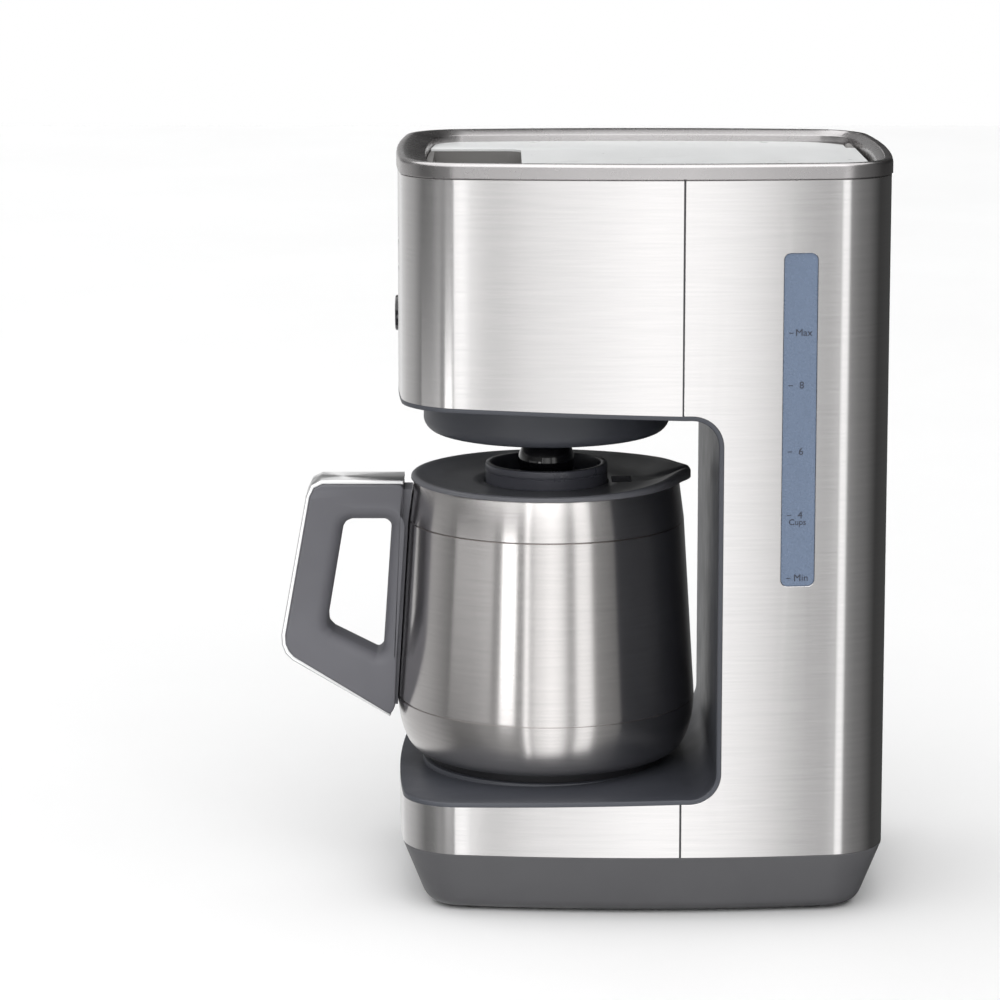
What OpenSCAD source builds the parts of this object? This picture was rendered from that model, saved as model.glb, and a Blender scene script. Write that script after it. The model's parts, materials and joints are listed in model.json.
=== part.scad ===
// Drip coffee maker with a thermal carafe, front towards -Y, +Z up, in millimetres.
// The origin is at the centre of the footprint's bounding box, on the table.

/* [Body] */
// Height from the table to the top of the rim
total_h = 355; // [345:1:375]
// Width across the steel skins at their widest
body_w = 181; // [176:1:190]
// Depth of the steel body, without the handle
body_d = 232; // [228:1:240]
// Y of the back of the steel body, half the depth over the handle
body_back = 144.2; // [143:0.1:146]
// Radius of the four upright corners
corner_r = 29; // [24:1:34]
// How far the sides bulge between the corners
side_bow = 5.5; // [3:0.5:7]
// How far the front and back bulge between the corners
front_bow = 3; // [2:0.5:5]
// Thickness of the steel skins
skin_t = 1; // [0.8:0.1:1.2]
// Thickness of the moulded walls
wall_t = 2.2; // [1.8:0.1:2.4]

/* [Levels] */
// Height of the tapered skirt, where the steel starts
skirt_h = 30.4; // [28:0.1:34]
// Top edge of the base's steel at the upright seam
base_top = 56.1; // [54:0.1:58]
// Bottom edge of the head's steel at the upright seam
head_bottom = 239.2; // [237:0.1:242]
// Height of the band around the top
rim_h = 7.2; // [6:0.1:8]
// Y of the upright seam between the front and rear skins
seam_y = 44.6; // [42:0.1:48]
// Y of the tower wall behind the carafe
bay_wall_y = 61.2; // [60:0.1:64]
// Radius of the carafe bay's inner corners
bay_corner_r = 12.4; // [10:0.1:14]
// Slope of the bay's floor and ceiling, in degrees, opening to the front
bay_draft = 1.5; // [1:0.1:1.8]

/* [Water gauge] */
// Y of the middle of the gauge window
gauge_y = 98; // [94:0.1:102]
// Width of the gauge slot
gauge_w = 15.6; // [12:0.1:18]
// Bottom of the gauge slot
gauge_z0 = 159.2; // [150:0.1:170]
// Top of the gauge slot
gauge_z1 = 314.1; // [300:0.1:320]

/* [Carafe] */
// Y of the carafe's axis
carafe_y = -16.8; // [-18:0.1:-15]
// Largest radius of the carafe
carafe_r = 71.9; // [70:0.1:73]
// Radius of the steel at the carafe's rim
neck_r = 64; // [62:0.1:65]
// Level of the disc that the carafe stands on
pad_z = 57.7; // [57.5:0.1:58]
// Width of the handle's grip
grip_w = 28; // [24:1:32]

/* [Controls] */
// Height of the round start button's centre
start_z = 274.5; // [272:0.1:278]
// Width of each flat button
key_w = 16; // [12:0.5:18]
// Height of each flat button
key_h = 10.4; // [8:0.1:11]

/* [Hidden] */
$fn = 96;
eps = 0.01;
body_front = body_back - body_d;
body_mid = (body_back + body_front) / 2;
head_top = total_h - rim_h;
seam_gap = 0.8;
shell_in = skin_t + wall_t;

steel = [0.74, 0.74, 0.75];
dark_grey = [0.33, 0.34, 0.36];
mid_grey = [0.28, 0.29, 0.32];
rim_grey = [0.54, 0.53, 0.52];
black = [0.08, 0.08, 0.09];

// ---- Plan outline of the body: four bowed sides joined by tangent corner arcs ----
function bow_r(half, bow) = (half * half + bow * bow) / (2 * bow);
side_r = bow_r(body_d / 2 - corner_r, side_bow);
end_r = bow_r(body_w / 2 - corner_r, front_bow);
side_c = [body_w / 2 - side_r, 0];
end_c = [0, body_d / 2 - end_r];
// The corner's centre lies at a set distance from both bow centres.
bow_span = norm(end_c - side_c);
along = (bow_span ^ 2 + (side_r - corner_r) ^ 2 - (end_r - corner_r) ^ 2) / (2 * bow_span);
across = sqrt((side_r - corner_r) ^ 2 - along ^ 2);
span_dir = (end_c - side_c) / bow_span;
corner_c = side_c + along * span_dir + across * [-span_dir.y, span_dir.x];
side_a = atan2(corner_c.y - side_c.y, corner_c.x - side_c.x);
end_a = atan2(corner_c.y - end_c.y, corner_c.x - end_c.x);

function arc(c, r, a0, a1, n) =
    [for (i = [0 : n - 1]) c + r * [cos(a0 + (a1 - a0) * i / n), sin(a0 + (a1 - a0) * i / n)]];
function flip(p) = [for (q = p) -q];
function outline(inset) =
    let (half = concat(
        arc(side_c, side_r - inset, -side_a, side_a, 8),
        arc(corner_c, corner_r - inset, side_a, end_a, 8),
        arc(end_c, end_r - inset, end_a, 180 - end_a, 8),
        arc([-corner_c.x, corner_c.y], corner_r - inset, 180 - end_a, 180 - side_a, 8)))
    concat(half, flip(half));

module plan(inset = 0, shift = 0) {
    translate([0, body_mid + shift]) polygon(outline(inset));
}
module block(inset, z0, z1, shift = 0) {
    translate([0, 0, z0]) linear_extrude(z1 - z0) plan(inset, shift);
}
module ring(inset0, inset1, z0, z1) {
    translate([0, 0, z0]) linear_extrude(z1 - z0) difference() {
        plan(inset0);
        plan(inset1);
    }
}
// A prism across the machine from an outline drawn in the Y-Z plane
module across_x(x0, x1) {
    translate([x0, 0, 0]) rotate([90, 0, 90]) linear_extrude(x1 - x0) children();
}
module tube(r, hole, h) {
    difference() {
        cylinder(r = r, h = h);
        translate([0, 0, -eps]) cylinder(r = hole, h = h + 2 * eps);
    }
}
// A round rod between two points
module rod(a, b, r) {
    d = b - a;
    translate(a) rotate([0, acos(d.z / norm(d)), atan2(d.y, d.x)]) cylinder(r = r, h = norm(d));
}
module pipe(points, r) {
    for (i = [0 : len(points) - 2]) rod(points[i], points[i + 1], r);
    for (i = [1 : len(points) - 2]) translate(points[i]) sphere(r = r);
}
module on_axis(z = 0) {
    translate([0, carafe_y, z]) children();
}
module mirrored() {
    children();
    mirror([1, 0, 0]) children();
}

// ---- Carafe bay: a C open to the front, grown by t for the liner's outer side ----
bay_rise = (seam_y - body_front + 20) * tan(bay_draft);
function bay_section(t) =
    let (floor_z = base_top + wall_t - t,
        roof_z = head_bottom - wall_t + t,
        wall_y = bay_wall_y + t,
        r = bay_corner_r + t)
    concat(
        [[body_front - 20, floor_z - bay_rise], [seam_y, floor_z]],
        arc([wall_y - r, floor_z + r], r, -90, 0, 8),
        arc([wall_y - r, roof_z - r], r, 0, 90, 8),
        [[wall_y - r, roof_z], [seam_y, roof_z], [body_front - 20, roof_z + bay_rise]]);
module bay(t) {
    across_x(-body_w, body_w) polygon(bay_section(t));
}

// ---- Base ----
pan_floor = 1.2;
pan_insets = [[pan_floor, 15.5], [pan_floor + 4.3, 10], [skirt_h, 0]];
foot_places = [[60, -52], [-60, -52], [60, 108], [-60, 108]];
screw_places = [[42, -40], [-42, -40], [42, 96], [-42, 96]];
screw_r = 1.6;
bush_z = 17;
bush_x = -50;
module pan_form(t) {
    hull() for (p = pan_insets) block(p[1] + t, p[0] + t, p[0] + t + 0.02);
}
module base_pan() {
    color(dark_grey) difference() {
        intersection() {
            pan_form(0);
            block(-1, 0, skirt_h);
        }
        pan_form(wall_t);
        block(wall_t, skirt_h - 2.5, skirt_h + 1);
        for (p = foot_places) translate([p.x, p.y, 0]) cylinder(r = 3, h = 6);
        for (p = screw_places) translate([p.x, p.y, 0]) cylinder(r = screw_r, h = 6);
        translate([bush_x, body_back + 5, bush_z]) rotate([90, 0, 0]) cylinder(r = 5, h = 30);
    }
}
module bottom_cover() {
    cover_z = pan_floor + wall_t;
    color(black) difference() {
        union() {
            block(22, cover_z, cover_z + 2);
            for (p = screw_places) translate([p.x, p.y, cover_z]) cylinder(r = 4, h = 10);
        }
        for (p = screw_places) translate([p.x, p.y, 0]) cylinder(r = screw_r, h = 30);
        for (i = [-3 : 3]) translate([-30, 34 + i * 9, 0]) cube([60, 3, 20]);
    }
}
module rubber_feet() {
    color(black) for (p = foot_places) translate([p.x, p.y, 0]) {
        cylinder(r = 7, h = pan_floor);
        cylinder(r = 3, h = pan_floor + wall_t);
    }
}
module bottom_screws() {
    color(steel) for (p = screw_places) translate([p.x, p.y, 0.2]) {
        cylinder(r = 3, h = pan_floor - 0.2);
        cylinder(r = screw_r, h = 11);
    }
}
module cord_bush() {
    color(black) translate([bush_x, body_back - 2, bush_z]) rotate([90, 0, 0]) tube(5, 3.6, 16);
}

// ---- Steel skins, moulded shell and bay liner ----
key_x = 36;
key_rows = [318.7, 306.2];
lens_w = 42;
lens_h = 24;
lens_z = 312.4;
start_r = 8.5;
module upright(x, z, w, h, gap) {
    translate([x - w / 2 - gap, body_front - 5, z - h / 2 - gap]) cube([w + 2 * gap, 20, h + 2 * gap]);
}
module start_form(r) {
    translate([0, body_front + 15, start_z]) rotate([90, 0, 0]) cylinder(r = r, h = 20);
}
module control_holes() {
    for (side = [-1, 1], z = key_rows) upright(side * key_x, z, key_w, key_h, 0.3);
    upright(0, lens_z, lens_w, lens_h, 0);
    start_form(start_r + 0.4);
}
module gauge_slot(gap) {
    h = gauge_z1 - gauge_z0 + 2 * gap;
    w = gauge_w + 2 * gap;
    r = 3 + gap;
    translate([body_w / 2 - 25, gauge_y, (gauge_z0 + gauge_z1) / 2]) {
        translate([0, -w / 2 + r, -h / 2]) cube([30, w - 2 * r, h]);
        translate([0, -w / 2, -h / 2 + r]) cube([30, w, h - 2 * r]);
        for (sy = [-1, 1], sz = [-1, 1])
            translate([0, sy * (w / 2 - r), sz * (h / 2 - r)]) rotate([0, 90, 0]) cylinder(r = r, h = 30);
    }
}
module skin_ring(z0, z1) {
    difference() {
        ring(0, skin_t, z0, z1);
        bay(wall_t);
    }
}
module in_front_of_seam() {
    translate([-body_w, body_front - 5, 0]) cube([2 * body_w, seam_y - seam_gap / 2 - body_front + 5, total_h]);
}
module base_skin() {
    color(steel) intersection() {
        skin_ring(skirt_h, base_top + 10);
        in_front_of_seam();
    }
}
module head_skin() {
    color(steel) difference() {
        intersection() {
            skin_ring(head_bottom - 10, head_top);
            in_front_of_seam();
        }
        control_holes();
    }
}
module tower_skin() {
    color(steel) difference() {
        skin_ring(skirt_h, head_top);
        translate([-body_w, body_front - 5, 0])
            cube([2 * body_w, seam_y + seam_gap / 2 - body_front + 5, total_h]);
        gauge_slot(0);
    }
}
module body_shell() {
    color(dark_grey) difference() {
        ring(skin_t, shell_in, skirt_h, head_top);
        bay(wall_t);
        control_holes();
        gauge_slot(0);
    }
}
bowl_r = 55.2;
seat_top = 246;
module bay_liner() {
    color(mid_grey) difference() {
        union() {
            intersection() {
                bay(wall_t);
                block(0, 0, total_h);
            }
            on_axis(head_bottom) cylinder(r = bowl_r + 3, h = seat_top - head_bottom);
        }
        difference() {
            bay(0);
            on_axis() cylinder(r = 60, h = pad_z);
        }
        on_axis(pad_z) cylinder(r = 62, h = 20);
        on_axis(head_bottom - 20) cylinder(r = bowl_r + 0.3, h = 60);
    }
}

// ---- Rim and lid ----
rim_proud = 0.6;
rim_in = 10.2;
rim_shift = 3;
lid_gap = 0.5;
lid_top = total_h - 5.5;
plate_t = 1.2;
frame_t = 3.8;
frame_top = lid_top - plate_t;
hinge_z = lid_top - 0.9;
lid_back = body_back - rim_in + rim_shift - 3;
lid_corner = 34;
lid_straight = 42;
hinge_y = lid_back - 2;
pin_r = 1.3;
barrel_r = 1.9;
barrel_in = 44;
barrel_x = 56;
lug_x = [56.5, 62.5];
pin_x = barrel_in + 1.5;
ledge_drop = 4.2;
pocket_x = 38;
pocket_y = [-71, -29];
pocket_depth = 9;
module rim_hole(gap = 0) {
    plan(rim_in + gap, rim_shift);
}
module lug_form() {
    translate([lug_x[0], hinge_y, hinge_z]) {
        rotate([0, 90, 0]) cylinder(r = barrel_r - 0.1, h = lug_x[1] - lug_x[0]);
        translate([0, 0, head_top - hinge_z]) cube([lug_x[1] - lug_x[0], 6, hinge_z + 1.8 - head_top]);
    }
}
module top_rim() {
    color(rim_grey) difference() {
        union() {
            translate([0, 0, head_top]) linear_extrude(rim_h - 1) difference() {
                plan(-rim_proud);
                rim_hole();
            }
            translate([0, 0, total_h - 1]) linear_extrude(1) difference() {
                plan(-rim_proud);
                plan(4);
            }
            ring(shell_in + 0.1, shell_in + wall_t, head_top - 6, head_top);
            ring(shell_in + 0.1, rim_in + rim_shift, head_top - 6, head_top - ledge_drop);
            mirrored() lug_form();
        }
        mirrored() translate([0, hinge_y, hinge_z]) rotate([0, 90, 0]) cylinder(r = pin_r, h = lug_x[1] + 0.2);
    }
}
module hinge_pins() {
    color(steel) mirrored() translate([pin_x, hinge_y, hinge_z]) rotate([0, 90, 0])
        cylinder(r = pin_r, h = lug_x[1] - pin_x);
}
module lid_plan() {
    intersection() {
        rim_hole(lid_gap);
        union() {
            translate([-body_w, body_front]) square([2 * body_w, lid_back - lid_corner - body_front]);
            translate([-lid_straight, body_front]) square([2 * lid_straight, lid_back - body_front]);
            for (side = [-1, 1]) translate([side * lid_straight, lid_back - lid_corner]) circle(r = lid_corner);
        }
    }
}
module pocket_plan(t) {
    r = 8;
    x = pocket_x + t;
    translate([-x, pocket_y[0] - t]) square([2 * x, pocket_y[1] - pocket_y[0] - r + t]);
    translate([-x + r, pocket_y[0] - t]) square([2 * (x - r), pocket_y[1] - pocket_y[0] + 2 * t]);
    for (side = [-1, 1]) translate([side * (x - r), pocket_y[1] + t - r]) circle(r = r);
}
module lid_frame() {
    color(dark_grey) difference() {
        union() {
            translate([0, 0, frame_top - frame_t]) linear_extrude(frame_t) lid_plan();
            translate([0, 0, frame_top - pocket_depth - 1.5]) linear_extrude(pocket_depth) pocket_plan(1.5);
            mirrored() translate([barrel_in, hinge_y, hinge_z]) rotate([0, 90, 0])
                cylinder(r = barrel_r, h = barrel_x - barrel_in);
        }
        translate([0, 0, frame_top - pocket_depth]) linear_extrude(30) pocket_plan(0);
        mirrored() {
            translate([pin_x - 1, hinge_y, hinge_z]) rotate([0, 90, 0]) cylinder(r = pin_r + 0.05, h = 40);
            translate([lug_x[0] - 0.4, hinge_y - 2.3, lid_top - 30]) cube([lug_x[1] - lug_x[0] + 0.8, 20, 40]);
        }
    }
}
module lid_plate() {
    color([0.86, 0.87, 0.87]) translate([0, 0, frame_top]) linear_extrude(plate_t) difference() {
        lid_plan();
        pocket_plan(0);
        translate([-pocket_x, body_front]) square([2 * pocket_x, pocket_y[0] + 10 - body_front]);
        mirrored() translate([barrel_in - 0.5, hinge_y - 2.4]) square([lug_x[1] + 1.5 - barrel_in, 20]);
    }
}

// ---- Water path ----
tank_front = 72;
tank_z0 = 66;
tank_z1 = 338;
tank_floor = 2.5;
valve_z = tank_z0 - 16;
tank_in = shell_in + 0.8;
outlet = [-30, 104];
heater_z = 42;
heater_r = 42;
riser_x = -62;
riser_y = (bay_wall_y + wall_t + tank_front) / 2;
spray_z = 332;
module tank_form(t, z0, z1) {
    intersection() {
        block(tank_in + t, z0, z1);
        translate([-body_w, tank_front + t, 0]) cube([2 * body_w, body_d, total_h]);
    }
}
module water_tank() {
    color([0.78, 0.80, 0.82]) difference() {
        tank_form(0, tank_z0, tank_z1);
        tank_form(2, tank_z0 + tank_floor, total_h);
        translate([outlet.x, outlet.y, 0]) cylinder(r = 4, h = 100);
    }
}
module gauge_window() {
    color([0.44, 0.50, 0.61]) intersection() {
        gauge_slot(-0.15);
        ring(skin_t / 2, tank_in, 0, total_h);
    }
}
module tank_outlet() {
    color(black) translate([outlet.x, outlet.y, tank_z0 - 6]) tube(4, 2.5, 6 + tank_floor);
}
module check_valve() {
    color(black) translate([outlet.x, outlet.y, valve_z]) tube(5, 2, 10);
}
module cold_hose() {
    color([0.7, 0.7, 0.68]) pipe([[outlet.x, outlet.y, valve_z], [outlet.x, outlet.y, heater_z],
        [heater_r, outlet.y, heater_z], [heater_r, carafe_y + 42, heater_z]], 4);
}
module heater_block() {
    color([0.7, 0.7, 0.72]) on_axis(heater_z) {
        rotate([0, 0, 180]) rotate_extrude(angle = 180) translate([heater_r, 0]) circle(r = 6);
        for (side = [-1, 1]) translate([side * heater_r, 0, 0]) rotate([-90, 0, 0]) cylinder(r = 6, h = 42);
    }
}
module thermostat() {
    color(black) on_axis(heater_z) translate([0, -heater_r, 6]) cylinder(r = 6, h = 3.5);
}
module riser_tube() {
    color([0.7, 0.7, 0.68]) pipe([[-heater_r, carafe_y + 42, heater_z], [-heater_r, riser_y, heater_z],
        [riser_x, riser_y, heater_z], [riser_x, riser_y, spray_z], [0, riser_y, spray_z],
        [0, carafe_y + 24, spray_z]], 3.2);
}
module spray_head() {
    color(dark_grey) on_axis(spray_z - 4) difference() {
        cylinder(r = 24, h = 8);
        translate([0, 0, -eps]) cylinder(r = 22, h = 2);
        for (i = [0 : 7]) rotate(i * 45) translate([14, 0, 0]) cylinder(r = 1.5, h = 5);
    }
}

// ---- Brew basket ----
bowl_foot = 217.4;
bowl_edge = 221;
bowl_top = 316;
valve_r = 5;
module bowl_outer() {
    rotate_extrude() polygon(concat([[0, bowl_foot], [40, bowl_foot]],
        arc([bowl_r - 7, bowl_edge + 4], 7, -70, 0, 6),
        [[bowl_r, bowl_edge + 6], [bowl_r, bowl_top], [0, bowl_top]]));
}
module basket_bowl() {
    color(mid_grey) on_axis() difference() {
        union() {
            bowl_outer();
            translate([0, 0, seat_top]) cylinder(r = bowl_r + 4, h = 2);
        }
        translate([0, 0, bowl_edge + 8]) cylinder(r = bowl_r - 2, h = 200);
        translate([0, 0, bowl_foot + 2.4]) cylinder(r = 40, h = 40);
        translate([0, 0, 200]) cylinder(r = valve_r + 0.3, h = 40);
    }
}
module filter_basket() {
    lip_z = bowl_top;
    color(black) on_axis() difference() {
        rotate_extrude() polygon([[0, 232], [34, 232], [51, lip_z], [56, lip_z], [56, lip_z + 3],
            [49.4, lip_z + 3], [32.6, 234], [0, 234]]);
        for (i = [0 : 5]) rotate(i * 60) translate([18, 0, 220]) cylinder(r = 3, h = 20);
    }
}
module drip_stop() {
    color(black) on_axis(bowl_foot - 0.2) {
        cylinder(r = valve_r, h = 7);
        translate([0, 0, 2.8]) cylinder(r = valve_r + 4, h = 2);
    }
}
spring_z0 = bowl_foot + 4.8;
spring_z1 = 231.6;
// A wire of radius wire_r wound round the valve, as rings of six points along the coil
module drip_spring() {
    turns = 4;
    steps = 16 * turns;
    coil_r = valve_r + 2.2;
    wire_r = 0.5;
    rise = spring_z1 - spring_z0 - 2 * wire_r;
    points = [for (i = [0 : steps], j = [0 : 5])
        let (a = i * 360 * turns / steps, r = coil_r + wire_r * cos(j * 60))
        [r * cos(a), r * sin(a), wire_r + rise * i / steps + wire_r * sin(j * 60)]];
    sides = [for (i = [0 : steps - 1], j = [0 : 5], half = [0, 1])
        let (k = (j + 1) % 6, p = 6 * i)
        half == 0 ? [p + j, p + k, p + 6 + k] : [p + j, p + 6 + k, p + 6 + j]];
    ends = [[5, 4, 3, 2, 1, 0], [for (j = [0 : 5]) 6 * steps + j]];
    color(steel) on_axis(spring_z0) polyhedron(points, concat(sides, ends));
}

// ---- Controls ----
board_y = body_front + 10.6;
module circuit_board() {
    color([0.1, 0.35, 0.2]) difference() {
        translate([-46, board_y, start_z - 14]) cube([92, 1.6, 68]);
        for (side = [-1, 1], z = [start_z - 10, start_z + 50])
            translate([side * 42, board_y + 5, z]) rotate([90, 0, 0]) cylinder(r = 1.6, h = 10);
    }
}
module display_lens() {
    color(black) intersection() {
        upright(0, lens_z, lens_w, lens_h, -0.1);
        ring(0.2, shell_in + 1, 0, total_h);
    }
}
module key(side, z) {
    color(steel) intersection() {
        upright(side * key_x, z, key_w, key_h, 0);
        ring(0.1, 7.4, 0, total_h);
    }
}
module key_upper_right() { key(1, key_rows[0]); }
module key_upper_left() { key(-1, key_rows[0]); }
module key_lower_right() { key(1, key_rows[1]); }
module key_lower_left() { key(-1, key_rows[1]); }
module start_button() {
    color(black) translate([0, body_front - 1.6, start_z]) rotate([-90, 0, 0]) cylinder(r = start_r, h = 9);
}

// ---- Thermal carafe ----
steel_t = 0.9;
foot_r = 60.5;
steel_z0 = pad_z + 4.1;
wide_z = 88.4;
shoulder_z = 174.9;
shoulder_r = 66.5;
rim_z = 194.3;
neck_in = 59;
collar_r = 29.4;
collar_in = 26.25;
collar_top = 202;
dome_r = 13.6;
dome_z = bowl_foot - 1 - dome_r;
// The rounded lower wall, from the foot up to the widest point
function lower_wall(t) = [for (i = [0 : 8]) [foot_r + (carafe_r - foot_r) * sin(i * 11.25) - t,
    steel_z0 + t + (wide_z - steel_z0 - t) * (1 - cos(i * 11.25))]];
function back_to_front(p) = [for (i = [len(p) - 1 : -1 : 0]) p[i]];
module carafe_base() {
    color(black) on_axis(pad_z) difference() {
        cylinder(r = 58, h = steel_z0 - pad_z);
        translate([0, 0, -1]) cylinder(r = 48, h = 3);
    }
}
module carafe_shell() {
    color(steel) on_axis() rotate_extrude() polygon(concat([[0, steel_z0]], lower_wall(0),
        [[shoulder_r, shoulder_z], [shoulder_r - steel_t, shoulder_z]],
        back_to_front(lower_wall(steel_t)), [[0, steel_z0 + steel_t]]));
}
module carafe_shoulder() {
    color(steel) on_axis() rotate_extrude() polygon([[shoulder_r, shoulder_z], [neck_r, rim_z],
        [neck_in, rim_z], [neck_in, rim_z - 1], [neck_r - steel_t, rim_z - 1],
        [shoulder_r - steel_t, shoulder_z]]);
}
function liner_wall(t) = [[0, 67 + t], [52, 67 + t], [62 - t, 77], [65 - t, 90], [60.5 - t, 168],
    [neck_in - t, 176], [neck_in - t, rim_z]];
module carafe_liner() {
    color(steel) on_axis() rotate_extrude() polygon(concat(liner_wall(0), back_to_front(liner_wall(0.8))));
}
lid_r = 65.3;
bore_r = 30;
spout_reach = 69.7;
module carafe_lid() {
    plug_r = neck_in - 1;
    color(mid_grey) on_axis() difference() {
        union() {
            rotate_extrude() polygon([[bore_r, 184], [bore_r, 193.2], [45, 193.6], [58, 195.3], [63, 197.3],
                [lid_r, 196.8], [lid_r, rim_z], [plug_r, rim_z], [plug_r, 184], [plug_r - 2.5, 184],
                [plug_r - 2.5, 191], [bore_r + 3, 190], [bore_r + 3, 184]]);
            translate([0, 0, rim_z]) linear_extrude(5.3) {
                polygon([[-20, 61], [20, 61], [4, spout_reach - 1], [-4, spout_reach - 1]]);
                translate([0, spout_reach - 4.5]) circle(r = 4.5);
            }
        }
        translate([-7, 44, 196]) cube([14, spout_reach - 46, 10]);
        translate([-8, bore_r + 1.5, 180]) cube([16, 9.5, 30]);
    }
}
module lid_collar() {
    color(black) on_axis() difference() {
        union() {
            translate([0, 0, 181.5]) cylinder(r = collar_r, h = collar_top - 181.5);
            translate([0, 0, 181.5]) cylinder(r = bore_r + 3.5, h = 2.2);
        }
        translate([0, 0, 194]) cylinder(r = collar_in, h = 20);
        translate([0, 0, 170]) cylinder(r = collar_in, h = 22);
        for (i = [0 : 2]) rotate(i * 120) translate([20, 0, 180]) cylinder(r = 2.5, h = 20);
    }
}
module collar_seal() {
    color([0.3, 0.3, 0.3]) on_axis(180) tube(bore_r + 3.5, collar_in, 1.5);
}
module lid_dome() {
    color(black) on_axis() difference() {
        translate([0, 0, dome_z]) sphere(r = dome_r);
        translate([-20, -20, 174]) cube([40, 40, 20]);
        translate([-20, -2.5, 196.4]) cube([40, 5, 3.4]);
    }
}

// ---- Carafe handle, drawn from the side with Y across and Z up ----
handle_front = -body_back - rim_proud;
spine_line = [[-85.5, 194.8], [-125, 194.8], [-129.8, 192.6], [-132.4, 187], [handle_front, 119],
    [handle_front + 0.3, 114], [handle_front + 2, 109.6], [-139.6, 106.4]];
grip_line = [[-85.5, 192.8], [-124.5, 192.8], [-128.4, 191], [-130.5, 186.6], [-142.6, 118.8],
    [-142.4, 114.6], [-141, 111.2], [-138.6, 108.4]];
finger_gap = [[-110.4, 175.6], [-94, 175.6], [-91.4, 173.4], [-95.6, 111.6], [-98, 108.9], [-119.6, 119.8],
    [-122.2, 122.6], [-122.4, 126.6], [-114.8, 171.6], [-113.2, 174.4]];
grip_foot = [[-92, 79.6], [-90, 84]];
spine_tip = [-92.6, 78.6];
// Y of the grip's edge next to the carafe at height z
function grip_back(z) = lookup(z, [[grip_foot[1].y, grip_foot[1].x], [grip_line[0].y, grip_line[0].x]]);
screw_z = [184, 97];
// Y of the steel's foremost line at height z
function shell_front(z) =
    carafe_y - lookup(z, [[wide_z, carafe_r], [shoulder_z, shoulder_r], [rim_z, neck_r]]);
module handle_screw_form(gap = 0) {
    for (z = screw_z) translate([0, -102, z]) rotate([-90, 0, 0])
        cylinder(r = 2, h = shell_front(z) + 102 - 0.3 + gap);
}
module handle_bracket() {
    color(steel) difference() {
        across_x(-9, 9) polygon([[grip_back(190), 190], [grip_back(84), 84], [shell_front(wide_z), 84],
            [shell_front(wide_z), wide_z], [shell_front(shoulder_z), shoulder_z], [shell_front(190), 190]]);
        handle_screw_form(1);
    }
}
module handle_grip() {
    color([0.39, 0.39, 0.42]) difference() {
        across_x(-grip_w / 2, grip_w / 2) difference() {
            polygon(concat(grip_line, grip_foot));
            polygon(finger_gap);
        }
        handle_screw_form();
    }
}
module handle_spine() {
    color(steel) across_x(-grip_w / 2 + 2, grip_w / 2 - 2)
        polygon(concat(spine_line, [spine_tip], back_to_front(concat(grip_line, [grip_foot[0]]))));
}
module handle_screws() {
    color(steel) handle_screw_form();
}

base_pan();
bottom_cover();
rubber_feet();
bottom_screws();
cord_bush();
base_skin();
head_skin();
tower_skin();
body_shell();
bay_liner();
top_rim();
hinge_pins();
lid_frame();
lid_plate();
water_tank();
gauge_window();
tank_outlet();
check_valve();
cold_hose();
heater_block();
thermostat();
riser_tube();
spray_head();
basket_bowl();
filter_basket();
drip_stop();
drip_spring();
circuit_board();
display_lens();
start_button();
key_upper_right();
key_upper_left();
key_lower_right();
key_lower_left();
carafe_base();
carafe_shell();
carafe_shoulder();
carafe_liner();
carafe_lid();
lid_collar();
collar_seal();
lid_dome();
handle_bracket();
handle_grip();
handle_spine();
handle_screws();
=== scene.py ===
"""Looks of the drip coffee maker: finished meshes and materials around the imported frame."""
import json
import math

import bmesh
import bpy
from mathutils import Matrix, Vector
from mathutils.geometry import tessellate_polygon

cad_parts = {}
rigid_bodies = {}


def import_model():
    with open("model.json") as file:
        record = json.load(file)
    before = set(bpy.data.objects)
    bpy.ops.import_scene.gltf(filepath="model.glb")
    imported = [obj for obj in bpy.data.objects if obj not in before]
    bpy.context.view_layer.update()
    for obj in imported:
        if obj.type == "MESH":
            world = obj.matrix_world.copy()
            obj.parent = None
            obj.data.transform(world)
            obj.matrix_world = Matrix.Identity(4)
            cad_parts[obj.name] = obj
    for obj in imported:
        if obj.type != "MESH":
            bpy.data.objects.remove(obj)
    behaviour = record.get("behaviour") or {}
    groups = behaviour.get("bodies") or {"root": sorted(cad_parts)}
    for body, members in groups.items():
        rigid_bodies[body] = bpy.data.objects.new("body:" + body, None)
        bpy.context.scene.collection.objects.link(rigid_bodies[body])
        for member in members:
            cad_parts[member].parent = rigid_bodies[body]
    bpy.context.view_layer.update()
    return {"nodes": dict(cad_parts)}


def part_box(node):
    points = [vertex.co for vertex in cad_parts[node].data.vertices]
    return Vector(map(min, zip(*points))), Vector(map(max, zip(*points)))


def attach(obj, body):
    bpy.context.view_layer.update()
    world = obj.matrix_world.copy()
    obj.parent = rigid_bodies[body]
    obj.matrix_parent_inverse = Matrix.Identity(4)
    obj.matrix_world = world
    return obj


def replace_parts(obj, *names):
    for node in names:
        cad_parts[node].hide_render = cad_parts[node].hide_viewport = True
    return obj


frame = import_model()
MM = 0.001

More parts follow.
